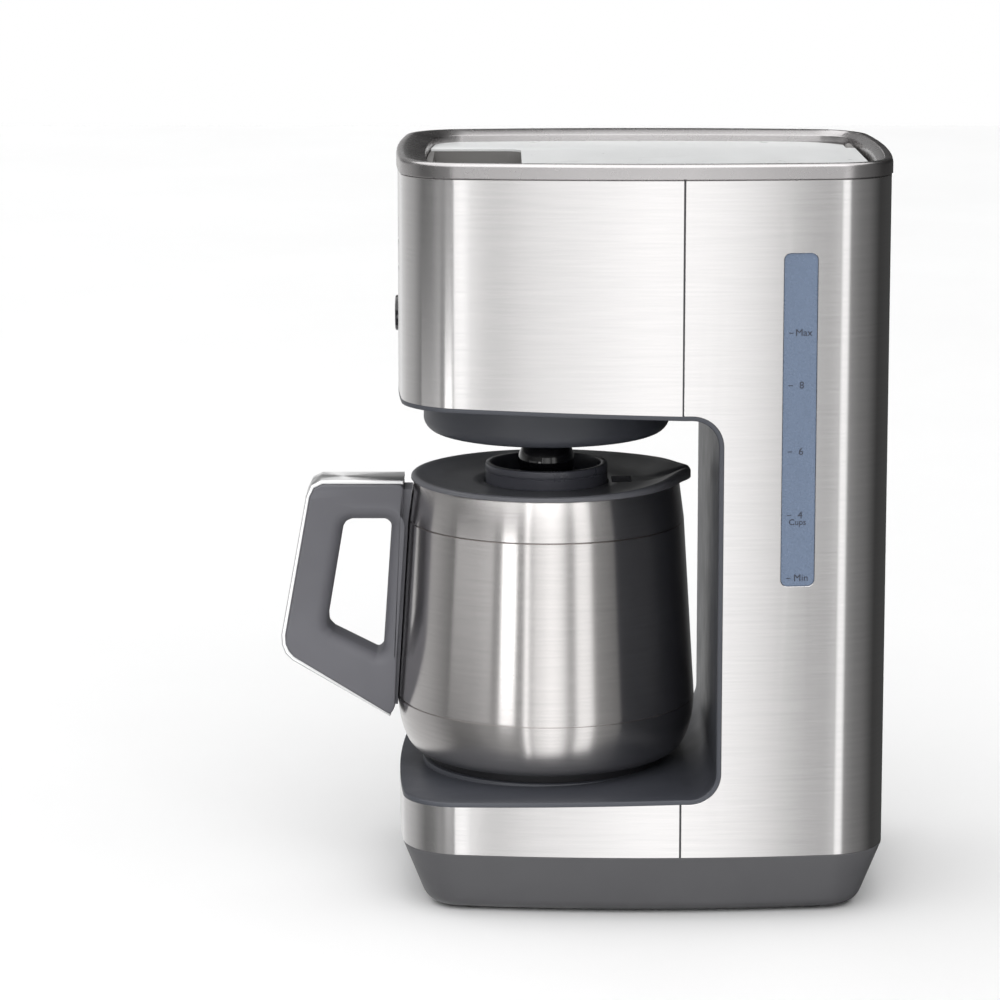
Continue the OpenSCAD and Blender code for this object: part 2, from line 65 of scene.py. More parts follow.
# ---------------------------------------------------------------- sizes from the frame
SKIN_LO, SKIN_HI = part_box("tower_skin")
HEAD_LO, HEAD_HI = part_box("head_skin")
PAN_LO, PAN_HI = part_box("base_pan")
RIM_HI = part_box("top_rim")[1]
LINER_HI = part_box("bay_liner")[1]
SHELL_LO, SHELL_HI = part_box("carafe_shell")
SHOULDER_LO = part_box("carafe_shoulder")[0]
FOOT_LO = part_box("carafe_base")[0]
FRONT, BACK = HEAD_LO.y, SKIN_HI.y
MID_Y = (FRONT + BACK) / 2
HALF_W = (HEAD_HI.x - HEAD_LO.x) / 2
HALF_D = (BACK - FRONT) / 2
TOP = RIM_HI.z
STEEL_TOP, STEEL_BOTTOM = SKIN_HI.z, SKIN_LO.z
CARAFE_Y = (SHELL_LO.y + SHELL_HI.y) / 2
CARAFE_R = (SHELL_HI.x - SHELL_LO.x) / 2
CORNER_R = 29 * MM
SIDE_BOW = 5.5 * MM
FRONT_BOW = 3 * MM
SKIN_T = 1 * MM
TRIM = 2.2 * MM
SEAM_GAP = 0.8 * MM
SEAM_Y = HEAD_HI.y + SEAM_GAP / 2
DRAFT = math.tan(math.radians(1.5))
BAY_R = 12.4 * MM
BAY_WALL = LINER_HI.y - TRIM


# ---------------------------------------------------------------- plan outline
def bow_radius(half, bow):
    return (half * half + bow * bow) / (2 * bow)


SIDE_R = bow_radius(HALF_D - CORNER_R, SIDE_BOW)
END_R = bow_radius(HALF_W - CORNER_R, FRONT_BOW)
SIDE_C = Vector((HALF_W - SIDE_R, 0))
END_C = Vector((0, HALF_D - END_R))


def corner_centre():
    """The centre of the corner arc that is tangent to a side's bow and an end's bow."""
    span = (END_C - SIDE_C).length
    a, b = SIDE_R - CORNER_R, END_R - CORNER_R
    along = (span**2 + a**2 - b**2) / (2 * span)
    across = math.sqrt(a**2 - along**2)
    way = (END_C - SIDE_C) / span
    return SIDE_C + along * way + across * Vector((-way.y, way.x))


CORNER_C = corner_centre()
SIDE_A = math.atan2(CORNER_C.y - SIDE_C.y, CORNER_C.x - SIDE_C.x)
END_A = math.atan2(CORNER_C.y - END_C.y, CORNER_C.x - END_C.x)


def arc(c, r, a0, a1, n):
    steps = [a0 + (a1 - a0) * i / n for i in range(n)]
    return [Vector((c[0] + r * math.cos(a), c[1] + r * math.sin(a))) for a in steps]


def outline(inset=0.0, shift=0.0, side=24, corner=20, end=20):
    """The body's plan outline, pulled in by inset, as points that run anticlockwise."""
    left = (-CORNER_C.x, CORNER_C.y)
    half = arc(SIDE_C, SIDE_R - inset, -SIDE_A, SIDE_A, side)
    half += arc(CORNER_C, CORNER_R - inset, SIDE_A, END_A, corner)
    half += arc(END_C, END_R - inset, END_A, math.pi - END_A, end)
    half += arc(left, CORNER_R - inset, math.pi - END_A, math.pi - SIDE_A, corner)
    points = half + [-p for p in half]
    return [Vector((p.x, p.y + MID_Y + shift)) for p in points]


def half_width(y, inset=0.0):
    """Half the width of the outline at a given depth y."""
    v = min(abs(y - MID_Y), HALF_D - inset)
    if v <= CORNER_C.y + (CORNER_R - inset) * math.sin(SIDE_A):
        return SIDE_C.x + math.sqrt((SIDE_R - inset) ** 2 - v**2)
    if v <= CORNER_C.y + (CORNER_R - inset) * math.sin(END_A):
        return CORNER_C.x + math.sqrt(max((CORNER_R - inset) ** 2 - (v - CORNER_C.y) ** 2, 0))
    return math.sqrt(max((END_R - inset) ** 2 - (v - END_C.y) ** 2, 0))


# ---------------------------------------------------------------- mesh tools
def mesh_piece(name, verts, faces, body, material, smooth=35):
    mesh = bpy.data.meshes.new(name)
    mesh.from_pydata([tuple(v) for v in verts], [], faces)
    piece = bpy.data.objects.new(name, mesh)
    bpy.context.scene.collection.objects.link(piece)
    tidy_mesh(mesh, smooth)
    mesh.materials.append(material)
    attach(piece, body)
    return piece


def tidy_mesh(mesh, smooth):
    """Merges doubles, makes normals point outwards and marks edges sharper than the angle."""
    bm = bmesh.new()
    bm.from_mesh(mesh)
    bmesh.ops.remove_doubles(bm, verts=bm.verts, dist=1e-6)
    bmesh.ops.dissolve_degenerate(bm, edges=bm.edges, dist=1e-7)
    bmesh.ops.recalc_face_normals(bm, faces=bm.faces)
    limit = math.radians(smooth)
    for face in bm.faces:
        face.smooth = True
    for edge in bm.edges:
        edge.smooth = len(edge.link_faces) != 2 or edge.calc_face_angle(0) < limit
    bm.to_mesh(mesh)
    bm.free()


def loft(rings, closed_profile=False, caps=False):
    """Faces between rings of equal length; each ring is closed on itself."""
    n = len(rings[0])
    verts = [v for ring in rings for v in ring]
    faces = []
    spans = len(rings) if closed_profile else len(rings) - 1
    for i in range(spans):
        a, b = i * n, ((i + 1) % len(rings)) * n
        faces += [(a + j, a + (j + 1) % n, b + (j + 1) % n, b + j) for j in range(n)]
    if caps:
        faces.append(tuple(range(n))[::-1])
        faces.append(tuple(range(len(verts) - n, len(verts))))
    return verts, faces


def grid(rows, wrap=False):
    """Faces between rows of points of equal length."""
    n = len(rows[0])
    verts = [v for row in rows for v in row]
    faces = []
    for i in range(len(rows) - 1 + int(wrap)):
        a, b = i * n, ((i + 1) % len(rows)) * n
        faces += [(a + j, a + j + 1, b + j + 1, b + j) for j in range(n - 1)]
    return verts, faces


def round_profile(points, radius, steps=4):
    """A closed profile of 2D points whose corners are rounded; radius may differ per corner."""
    out, n = [], len(points)
    for i, p in enumerate(points):
        r = radius[i] if isinstance(radius, (list, tuple)) else radius
        p, a, b = Vector(p), Vector(points[i - 1]), Vector(points[(i + 1) % n])
        to_a, to_b = (a - p).normalized(), (b - p).normalized()
        turn = to_a.angle(to_b, math.pi)
        reach = min(r / max(math.tan(turn / 2), 1e-6), 0.49 * (a - p).length, 0.49 * (b - p).length)
        if r <= 0 or reach < 1e-7:
            out.append(p)
            continue
        start, stop = p + to_a * reach, p + to_b * reach
        for k in range(steps + 1):
            t = k / steps
            out.append(start * (1 - t) ** 2 + p * 2 * t * (1 - t) + stop * t**2)
    return out


def about_carafe(u, v, w):
    return Vector((u, CARAFE_Y + v, w))


def lathe(name, profile, body, material, place=about_carafe, steps=144, smooth=35):
    """Turns a closed profile of (radius, height) points about an axis set by place."""
    turn = [2 * math.pi * k / steps for k in range(steps)]
    rings = [[place(r * math.cos(a), r * math.sin(a), z) for a in turn] for r, z in profile]
    verts, faces = loft(rings, closed_profile=True)
    return mesh_piece(name, verts, faces, body, material, smooth)


def band(name, profile, body, material, smooth=35, caps=False):
    """Sweeps a profile of (inset, height, shift in y) points round the body's outline."""
    rings = [[Vector((p.x, p.y, z)) for p in outline(inset, shift)] for inset, z, shift in profile]
    verts, faces = loft(rings, closed_profile=not caps, caps=caps)
    return mesh_piece(name, verts, faces, body, material, smooth)


def settle(piece, smooth=35):
    """Applies the piece's modifiers to its mesh."""
    bpy.context.view_layer.update()
    done = piece.evaluated_get(bpy.context.evaluated_depsgraph_get())
    mesh = bpy.data.meshes.new_from_object(done)
    piece.modifiers.clear()
    piece.data = mesh
    tidy_mesh(mesh, smooth)


def cut(piece, *cutters, smooth=35):
    """Removes the cutters' volume from the piece, and the cutters from the scene."""
    for cutter in cutters:
        hole = piece.modifiers.new("cut", "BOOLEAN")
        hole.operation = "DIFFERENCE"
        hole.solver = "EXACT"
        hole.object = cutter
    settle(piece, smooth)
    for cutter in cutters:
        bpy.data.objects.remove(cutter)


def soften(piece, width, segments=2, angle=40, smooth=35):
    """Rounds the piece's edges that are sharper than the angle."""
    edge = piece.modifiers.new("edge", "BEVEL")
    edge.width = width
    edge.segments = segments
    edge.limit_method = "ANGLE"
    edge.angle_limit = math.radians(angle)
    settle(piece, smooth)


def refine(node, material, width, body, segments=3, smooth=35):
    """A finished copy of a CAD node: flat faces joined up and edges rounded. It replaces the node."""
    mesh = frame["nodes"][node].data.copy()
    bm = bmesh.new()
    bm.from_mesh(mesh)
    bmesh.ops.remove_doubles(bm, verts=bm.verts, dist=2e-6)
    bmesh.ops.dissolve_limit(bm, angle_limit=math.radians(0.5), verts=bm.verts, edges=bm.edges)
    bm.to_mesh(mesh)
    bm.free()
    mesh.materials.clear()
    mesh.materials.append(material)
    piece = bpy.data.objects.new(node + "_finish", mesh)
    bpy.context.scene.collection.objects.link(piece)
    soften(piece, width, segments, 30, smooth)
    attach(piece, body)
    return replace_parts(piece, node)


def box_mesh(lo, hi):
    """A plain box that only serves as a cutter."""
    x, y, z = zip(lo, hi)
    verts = [(x[i], y[j], z[k]) for i in (0, 1) for j in (0, 1) for k in (0, 1)]
    faces = [(0, 1, 3, 2), (4, 6, 7, 5), (0, 4, 5, 1), (2, 3, 7, 6), (0, 2, 6, 4), (1, 5, 7, 3)]
    return mesh_piece("cutter", verts, faces, "housing", STEEL)


def flat_shape(name, loops, depth, bevel, body, material, place, segments=4, smooth=40):
    """A filled outline with holes, of the given depth, with rounded edges.
    place turns a point (u, v, w) of the shape into a point of the frame."""
    curve = bpy.data.curves.new(name, "CURVE")
    curve.dimensions = "2D"
    curve.fill_mode = "BOTH"
    curve.extrude = depth / 2 - bevel
    curve.bevel_depth = bevel
    curve.bevel_resolution = segments
    curve.offset = -bevel
    for points in loops:
        spline = curve.splines.new("POLY")
        spline.points.add(len(points) - 1)
        spline.use_cyclic_u = True
        for point, co in zip(spline.points, points):
            point.co = (co[0], co[1], 0, 1)
    holder = bpy.data.objects.new(name + "_curve", curve)
    bpy.context.scene.collection.objects.link(holder)
    bpy.context.view_layer.update()
    made = bpy.data.meshes.new_from_object(holder.evaluated_get(bpy.context.evaluated_depsgraph_get()))
    bpy.data.objects.remove(holder)
    verts = [place(v.co.x, v.co.y, v.co.z) for v in made.vertices]
    faces = [tuple(f.vertices) for f in made.polygons]
    bpy.data.meshes.remove(made)
    return mesh_piece(name, verts, faces, body, material, smooth)


def rounded_rect(w, h, r, steps=8):
    x, y = w / 2 - r, h / 2 - r
    points = []
    for k, (sx, sy) in enumerate(((1, 1), (-1, 1), (-1, -1), (1, -1))):
        for t in range(steps + 1):
            a = (k + t / steps) * math.pi / 2
            points.append(Vector((sx * x + r * math.cos(a), sy * y + r * math.sin(a))))
    return points


# ---------------------------------------------------------------- materials
class Nodes:
    """A short way to write a material's node tree."""

    def __init__(self, name):
        self.material = bpy.data.materials.new(name)
        self.material.use_nodes = True
        self.tree = self.material.node_tree
        self.shader = self.tree.nodes["Principled BSDF"]
        self.coords = self.tree.nodes.new("ShaderNodeTexCoord").outputs["Object"]

    def set(self, **values):
        for key, value in values.items():
            self.shader.inputs[key.replace("_", " ").title()].default_value = value
        return self

    def node(self, kind, **inputs):
        made = self.tree.nodes.new(kind)
        for key, value in inputs.items():
            socket = made.inputs[key]
            if isinstance(value, bpy.types.NodeSocket):
                self.tree.links.new(value, socket)
            else:
                socket.default_value = value
        return made

    def noise(self, scale, stretch=(1, 1, 1), detail=4.0, rough=0.6):
        mapping = self.node("ShaderNodeMapping", Vector=self.coords, Scale=stretch)
        made = self.node("ShaderNodeTexNoise", Vector=mapping.outputs[0], Scale=scale, Detail=detail)
        made.inputs["Roughness"].default_value = rough
        return made.outputs["Fac"]

    def ramp(self, fac, low, high, start=0.3, stop=0.7):
        made = self.node("ShaderNodeValToRGB", Fac=fac)
        made.color_ramp.elements[0].position = start
        made.color_ramp.elements[1].position = stop
        made.color_ramp.elements[0].color = low if len(low) == 4 else (*low, 1)
        made.color_ramp.elements[1].color = high if len(high) == 4 else (*high, 1)
        return made.outputs["Color"]

    def spread(self, fac, low, high):
        made = self.node("ShaderNodeMapRange", Value=fac)
        made.inputs["From Min"].default_value = 0.25
        made.inputs["From Max"].default_value = 0.75
        made.inputs["To Min"].default_value = low
        made.inputs["To Max"].default_value = high
        return made.outputs["Result"]

    def bump(self, height, strength, distance, normal=None):
        made = self.node("ShaderNodeBump", Height=height, Strength=strength, Distance=distance)
        if normal is not None:
            self.tree.links.new(normal, made.inputs["Normal"])
        return made.outputs["Normal"]

    def painted_edge_highlight(self):
        """A painted highlight mask: 1 on sharp convex edges and 0 elsewhere."""
        sharp = self.node("ShaderNodeNewGeometry").outputs["Pointiness"]
        return self.ramp(sharp, (0, 0, 0), (1, 1, 1), 0.52, 0.6)

    def link(self, output, socket):
        self.tree.links.new(output, self.shader.inputs[socket])


def brushed_steel(name, light, dark, rough=(0.20, 0.25), grain=1.0, turn=0.9):
    """Steel brushed round the vertical axis: fine streaks that run level."""
    m = Nodes(name)
    fine = m.noise(2400 * grain, (0.02, 0.02, 1), detail=3)
    coarse = m.noise(900 * grain, (0.03, 0.03, 1), detail=5)
    m.link(m.ramp(coarse, dark, light), "Base Color")
    m.link(m.spread(fine, *rough), "Roughness")
    m.set(metallic=1.0)
    m.shader.inputs["Anisotropic"].default_value = turn
    m.shader.inputs["Anisotropic Rotation"].default_value = 0.25
    tangent = m.tree.nodes.new("ShaderNodeTangent")
    tangent.direction_type = "RADIAL"
    tangent.axis = "Z"
    m.link(tangent.outputs[0], "Tangent")
    m.link(m.bump(fine, 0.06, 0.00002), "Normal")
    return m.material


def moulded(name, base, lighter, rough=(0.42, 0.56), texture=0.22, scale=2600, coat=0.0, edge_highlight_gain=0.35):
    """Moulded plastic: a fine pebble texture, faint colour clouds and sharp edges painted paler as a painted
    highlight.
    """
    m = Nodes(name)
    cloud = m.noise(14, detail=3)
    pebble = m.noise(scale, detail=2)
    tint = m.ramp(cloud, base, lighter, 0.35, 0.75)
    # Painted highlight: sharp convex edges get a paler colour in place of the light they catch.
    edge_highlight_colour = tuple(min(1, c * (1 + edge_highlight_gain)) for c in lighter)
    mix = m.node("ShaderNodeMix")
    mix.data_type = "RGBA"
    m.tree.links.new(m.painted_edge_highlight(), mix.inputs[0])
    m.tree.links.new(tint, mix.inputs[6])
    mix.inputs[7].default_value = (*edge_highlight_colour, 1)
    m.link(mix.outputs[2], "Base Color")
    m.link(m.spread(m.noise(60, detail=4), *rough), "Roughness")
    m.link(m.bump(pebble, texture, 0.00006), "Normal")
    m.shader.inputs["Coat Weight"].default_value = coat
    m.shader.inputs["Coat Roughness"].default_value = 0.12
    return m.material


def clear_plastic(name, tint, rough, through):
    m = Nodes(name)
    m.link(m.ramp(m.noise(30, (1, 1, 0.15)), tint, tuple(min(1, c * 1.12) for c in tint)), "Base Color")
    m.link(m.spread(m.noise(300), *rough), "Roughness")
    m.shader.inputs["Transmission Weight"].default_value = through
    m.shader.inputs["IOR"].default_value = 1.49
    m.link(m.bump(m.noise(500), 0.05, 0.0001), "Normal")
    return m.material


STEEL = brushed_steel("steel_body", (0.79, 0.775, 0.772), (0.745, 0.733, 0.73))
STEEL_POT = brushed_steel("steel_carafe", (0.73, 0.705, 0.695), (0.68, 0.66, 0.65), rough=(0.2, 0.26))
STEEL_SATIN = brushed_steel("steel_satin", (0.82, 0.82, 0.82), (0.74, 0.74, 0.74), rough=(0.3, 0.42))
STEEL_PLAIN = brushed_steel("steel_plain", (0.6, 0.6, 0.6), (0.5, 0.5, 0.5), rough=(0.2, 0.35), turn=0.0)
ALLOY = brushed_steel("cast_alloy", (0.66, 0.66, 0.67), (0.5, 0.5, 0.52), rough=(0.4, 0.6), turn=0.0)
SKIRT = moulded("skirt_plastic", (0.088, 0.088, 0.094), (0.104, 0.104, 0.110))
LINER = moulded("liner_plastic", (0.046, 0.049, 0.060), (0.057, 0.061, 0.073), rough=(0.4, 0.5))
SHELL = moulded("shell_plastic", (0.05, 0.05, 0.055), (0.065, 0.065, 0.07))
# The rim paint gets a weaker painted edge highlight.
RIM = moulded("rim_paint", (0.47, 0.455, 0.455), (0.52, 0.505, 0.505), rough=(0.24, 0.3),
    texture=0.06, edge_highlight_gain=0.1)
RIM.node_tree.nodes["Principled BSDF"].inputs["Metallic"].default_value = 1.0
POCKET = moulded("pocket_plastic", (0.17, 0.165, 0.16), (0.20, 0.195, 0.19), rough=(0.38, 0.5))
# The lid paint gets a weaker painted edge highlight.
LID = moulded("lid_paint", (0.73, 0.74, 0.74), (0.77, 0.78, 0.78), rough=(0.26, 0.36), texture=0.06, edge_highlight_gain=0.1)
POT_LID = moulded("carafe_lid_plastic", (0.100, 0.102, 0.113), (0.118, 0.120, 0.133), rough=(0.3, 0.42))
COLLAR = moulded("collar_plastic", (0.085, 0.087, 0.106), (0.100, 0.102, 0.124), rough=(0.24, 0.36))
GRIP = moulded("grip_rubber", (0.118, 0.118, 0.132), (0.140, 0.140, 0.156), rough=(0.5, 0.64), texture=0.3)
BLACK = moulded("black_plastic", (0.012, 0.012, 0.014), (0.022, 0.022, 0.025), rough=(0.3, 0.42))
GLOSS = moulded("black_gloss", (0.006, 0.006, 0.008), (0.012, 0.012, 0.015), (0.06, 0.12), 0.03, coat=0.5)
RUBBER = moulded("black_rubber", (0.012, 0.012, 0.012), (0.02, 0.02, 0.02), rough=(0.6, 0.75), texture=0.4)
HOSE = moulded("silicone_hose", (0.5, 0.5, 0.47), (0.58, 0.58, 0.55), rough=(0.4, 0.5), texture=0.05)
BOARD = moulded("solder_mask", (0.01, 0.09, 0.035), (0.02, 0.13, 0.05), rough=(0.25, 0.4), texture=0.1)
TANK = clear_plastic("tank_plastic", (0.72, 0.76, 0.80), (0.25, 0.4), 0.6)
GAUGE = clear_plastic("gauge_plastic", (0.155, 0.205, 0.300), (0.22, 0.32), 0.12)
PRINT = moulded("mark_print", (0.010, 0.012, 0.02), (0.02, 0.022, 0.035), rough=(0.5, 0.6), texture=0.02)
GLOW = moulded("digit_print", (0.25, 0.55, 0.75), (0.35, 0.65, 0.85), rough=(0.3, 0.4), texture=0.02)

CAD_LOOKS = {
    STEEL_PLAIN: ("bottom_screws", "handle_screws", "hinge_pins", "drip_spring"),
    STEEL_POT: ("carafe_liner",),
    SHELL: ("body_shell", "bottom_cover", "spray_head"),
    BLACK: ("filter_basket", "drip_stop", "tank_outlet", "check_valve", "thermostat"),
    RUBBER: ("rubber_feet", "cord_bush", "collar_seal"),
    HOSE: ("cold_hose", "riser_tube"),
    ALLOY: ("heater_block",),
    BOARD: ("circuit_board",),
    TANK: ("water_tank",),
    POCKET: ("lid_frame",),
}
for look, names in CAD_LOOKS.items():
    for name in names:
        for holder in frame["nodes"][name].material_slots:
            holder.material = look


# ---------------------------------------------------------------- the bay's shape
STEEL_EDGE_LOW = 56.1 * MM
STEEL_EDGE_HIGH = 239.2 * MM


def bay_floor(y, grow=0.0):
    """Height of the bay's floor at depth y; grow moves it down into the wall."""
    base = STEEL_EDGE_LOW + TRIM - grow
    r = BAY_R + grow
    centre_y = BAY_WALL - BAY_R
    if y > centre_y:
        return base + r - math.sqrt(max(r * r - (y - centre_y) ** 2, 0))
    return base - max(SEAM_Y - y, 0) * DRAFT


def bay_roof(y, grow=0.0):
    return STEEL_EDGE_LOW + STEEL_EDGE_HIGH - bay_floor(y, grow)


def bay_contour(grow=0.0, side=28):
    """The bay's C from the front of its floor to the front of its roof, as (y, z) points."""
    front = [p.y for p in outline(0, side=side) if p.x >= -1e-9 and p.y < MID_Y]
    y_floor = sorted(set(round(y, 7) for y in front if y < BAY_WALL - BAY_R)) + [SEAM_Y]
    low = STEEL_EDGE_LOW + TRIM - grow
    high = STEEL_EDGE_HIGH - TRIM + grow
    r = BAY_R + grow
    centre = BAY_WALL - BAY_R
    floor = [Vector((y, bay_floor(y, grow))) for y in y_floor]
    turn = [math.pi / 2 * k / 12 for k in range(13)]
    lower = [Vector((centre + r * math.sin(a), low + r - r * math.cos(a))) for a in turn]
    upper = [Vector((centre + r * math.cos(a), high - r + r * math.sin(a))) for a in turn]
    rise = [Vector((BAY_WALL + grow, low + r + (high - low - 2 * r) * k / 10)) for k in range(1, 10)]
    roof = [Vector((y, bay_roof(y, grow))) for y in reversed(y_floor)]
    return floor + lower + rise + upper + roof


def bay_cutter():
    """The bay with its liner, as a prism that runs out past the front and both sides."""
    contour = bay_contour(TRIM)
    first, last = contour[0], contour[-1]
    contour = [Vector((FRONT - 0.05, first.y - 0.05 * DRAFT))] + contour
    contour += [Vector((FRONT - 0.05, last.y + 0.05 * DRAFT))]
    wide = 2 * HALF_W
    rings = [[Vector((x, p.x, p.y)) for p in contour] for x in (-wide, wide)]
    verts, faces = loft(rings, caps=True)
    return mesh_piece("cutter", verts, faces, "housing", STEEL)


# ---------------------------------------------------------------- base, skins and bay liner
def skin_band(name, z0, z1):
    e = 0.25 * MM
    profile = [(0, z0 + e), (0, z1 - e), (e, z1), (SKIN_T, z1), (SKIN_T, z0), (e, z0)]
    return band(name, [(i, z, 0) for i, z in profile], "housing", STEEL)


def make_skins():
    wide = 2 * HALF_W
    behind = lambda: box_mesh((-wide, SEAM_Y - SEAM_GAP / 2, -1), (wide, 1, 1))
    before = lambda: box_mesh((-wide, -1, -1), (wide, SEAM_Y + SEAM_GAP / 2, 1))
    base = skin_band("base_band", STEEL_BOTTOM, STEEL_EDGE_LOW + 8 * MM)
    cut(base, behind(), bay_cutter())
    head = skin_band("head_cover", STEEL_EDGE_HIGH - 8 * MM, STEEL_TOP - 0.3 * MM)
    cut(head, behind(), bay_cutter(), *control_cutters())
    tower = skin_band("tower_cover", STEEL_BOTTOM, STEEL_TOP - 0.3 * MM)
    cut(tower, before(), bay_cutter(), gauge_cutter(0))
    for piece, node in ((base, "base_skin"), (head, "head_skin"), (tower, "tower_skin")):
        soften(piece, 0.22 * MM, 2, 50, smooth=18)
        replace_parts(piece, node)


GAUGE_LO, GAUGE_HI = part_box("gauge_window")
GAUGE_Y = (GAUGE_LO.y + GAUGE_HI.y) / 2
GAUGE_Z = (GAUGE_LO.z + GAUGE_HI.z) / 2
GAUGE_W = GAUGE_HI.y - GAUGE_LO.y
GAUGE_H = GAUGE_HI.z - GAUGE_LO.z


def gauge_cutter(gap):
    loop = rounded_rect(GAUGE_W + 0.3 * MM + gap, GAUGE_H + 0.3 * MM + gap, 3.15 * MM)
    rings = [[Vector((x, GAUGE_Y + p.x, GAUGE_Z + p.y)) for p in loop] for x in (0.05, 0.15)]
    verts, faces = loft(rings, caps=True)
    return mesh_piece("cutter", verts, faces, "housing", STEEL)


def node_centre(node):
    lo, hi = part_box(node)
    return (lo + hi) / 2


KEYS = ("key_upper_right", "key_upper_left", "key_lower_right", "key_lower_left")
START = node_centre("start_button")
START_R = (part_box("start_button")[1].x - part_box("start_button")[0].x) / 2
LENS = node_centre("display_lens")
LENS_LO, LENS_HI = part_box("display_lens")


def front_cutter(loop, x, z):
    rings = [[Vector((x + p.x, y, z + p.y)) for p in loop] for y in (FRONT - 0.01, FRONT + 0.02)]
    verts, faces = loft(rings, caps=True)
    return mesh_piece("cutter", verts, faces, "housing", STEEL)


def control_cutters():
    """Holes for the keys, the lens and the start button."""
    cutters = []
    for node in KEYS:
        lo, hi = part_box(node)
        loop = rounded_rect(hi.x - lo.x + 0.6 * MM, hi.z - lo.z + 0.6 * MM, 1.6 * MM)
        centre = node_centre(node)
        cutters.append(front_cutter(loop, centre.x, centre.z))
    loop = rounded_rect(LENS_HI.x - LENS_LO.x + 0.3 * MM, LENS_HI.z - LENS_LO.z + 0.3 * MM, 1.2 * MM)
    cutters.append(front_cutter(loop, LENS.x, LENS.z))
    cutters.append(front_cutter(arc((0, 0), START_R + 0.4 * MM, 0, 2 * math.pi, 64), START.x, START.z))
    return cutters


def make_pan():
    """The tapered skirt with a rounded foot, as an open tray."""
    z1, z0 = PAN_HI.z, PAN_LO.z
    slope = 0.4016
    wall = 2.2 * MM
    foot = slope * (z1 - z0)
    bend = []
    for k in range(9):
        t = k / 8
        a, b, c = (foot + 6 * MM, z0), (foot, z0), (foot - slope * 6.5 * MM, z0 + 6.5 * MM)
        bend.append(tuple(a[i] * (1 - t) ** 2 + b[i] * 2 * t * (1 - t) + c[i] * t * t for i in (0, 1)))
    outer = [(foot + 12 * MM, z0)] + bend
    outer += [(slope * d * MM, z1 - d * MM) for d in (14, 6, 0.6, 0.25)]
    outer += [(0.12 * MM, z1 - 0.05 * MM), (0.35 * MM, z1)]
    inner = [(wall, z1), (foot + wall - 3 * MM, z0 + 8 * MM), (foot + 3 * MM, z0 + wall)]
    inner.append((foot + 12 * MM, z0 + wall))
    pan = band("skirt", [(i, z, 0) for i, z in outer + inner], "housing", SKIRT, caps=True)
    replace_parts(pan, "base_pan")


def make_liner():
    """The C-shaped moulding: its face, its rounded outer edge and its back, row by row."""
    face, back = bay_contour(0), bay_contour(TRIM)
    rows = []
    for p, q in zip(face, back):
        across = (q - p) / TRIM
        row = []
        for share in (0, 0.5, 0.8, 0.93):
            row.append((share, 0.0, 0.0))
        row += [(1, 0.75 * MM, 0.0), (1, 0.3 * MM, 0.12 * MM), (1, 0.0, 0.5 * MM), (1, 0.0, TRIM - 0.1 * MM)]
        row += [(1, 1.2 * MM, TRIM), (0.5, 0.0, TRIM), (0, 0.0, TRIM)]
        right = []
        for share, pull, depth in row:
            at = p + across * depth
            reach = max(half_width(at.x) - pull, 0)
            right.append(Vector((share * reach, at.x, at.y)))
        left = [Vector((-v.x, v.y, v.z)) for v in right[1:-1]]
        rows.append(right + left[::-1])
    verts, faces = loft(rings=rows, caps=True)
    liner = mesh_piece("bay_moulding", verts, faces, "housing", LINER, smooth=45)
    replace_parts(liner, "bay_liner")
    pad_r = 60 * MM
    pad_z = FOOT_LO.z
    low = STEEL_EDGE_LOW - 3 * MM
    profile = [(0, low), (pad_r, low), (pad_r, pad_z - 0.8 * MM), (pad_r - 0.25 * MM, pad_z - 0.25 * MM),
        (pad_r - 0.8 * MM, pad_z), (0, pad_z)]
    lathe("carafe_pad", profile, "housing", LINER)


make_pan()
make_liner()
make_skins()


# ---------------------------------------------------------------- rim and lid
RIM_IN = 10.2 * MM
RIM_SHIFT = 3 * MM
RIM_PROUD = 0.6 * MM
HEAD_TOP = TOP - 7.2 * MM


def make_rim():
    """The satin ring: a rounded outer edge and a top face that slopes in towards the lid."""
    low = HEAD_TOP
    outer = [(-RIM_PROUD + 0.5 * MM, low, 0), (-RIM_PROUD, low + 0.4 * MM, 0)]
    outer.append((-RIM_PROUD, TOP - 1.9 * MM, 0))
    crown = [(-0.4, -0.9), (0.1, -0.35), (0.9, -0.05), (1.8, 0), (3.2, -0.12)]
    outer += [(i * MM, TOP + d * MM, 0) for i, d in crown]
    slope = [(0.45, -0.75), (0.93, -2.15), (0.985, -2.5), (1.0, -3.1), (1.0, -7.2)]
    inner = [(share * RIM_IN, TOP + d * MM, share * RIM_SHIFT) for share, d in slope]
    rim = band("rim_ring", outer + inner, "housing", RIM)
    ledge_in = RIM_IN + RIM_SHIFT
    ledge = [(3.3, -13.2), (3.3, -7.4), (5.5, -7.4), (5.5, -11.4)]
    profile = [(i * MM, TOP + d * MM, 0) for i, d in ledge]
    profile += [(ledge_in, TOP - 11.4 * MM, 0), (ledge_in, TOP - 13.2 * MM, 0)]
    lower = band("rim_ledge", profile, "housing", POCKET)
    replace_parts(rim, "top_rim")


make_rim()
refine("lid_plate", LID, 0.2 * MM, "lid")


# ---------------------------------------------------------------- carafe
BASE_Z = SHELL_LO.z
GROOVE_LOW = 88.4 * MM
GROOVE_HIGH = SHOULDER_LO.z
NECK_R = 64 * MM
FOOT_R = 60.5 * MM
SHOULDER_R = 66.5 * MM
RIM_Z = 194.3 * MM


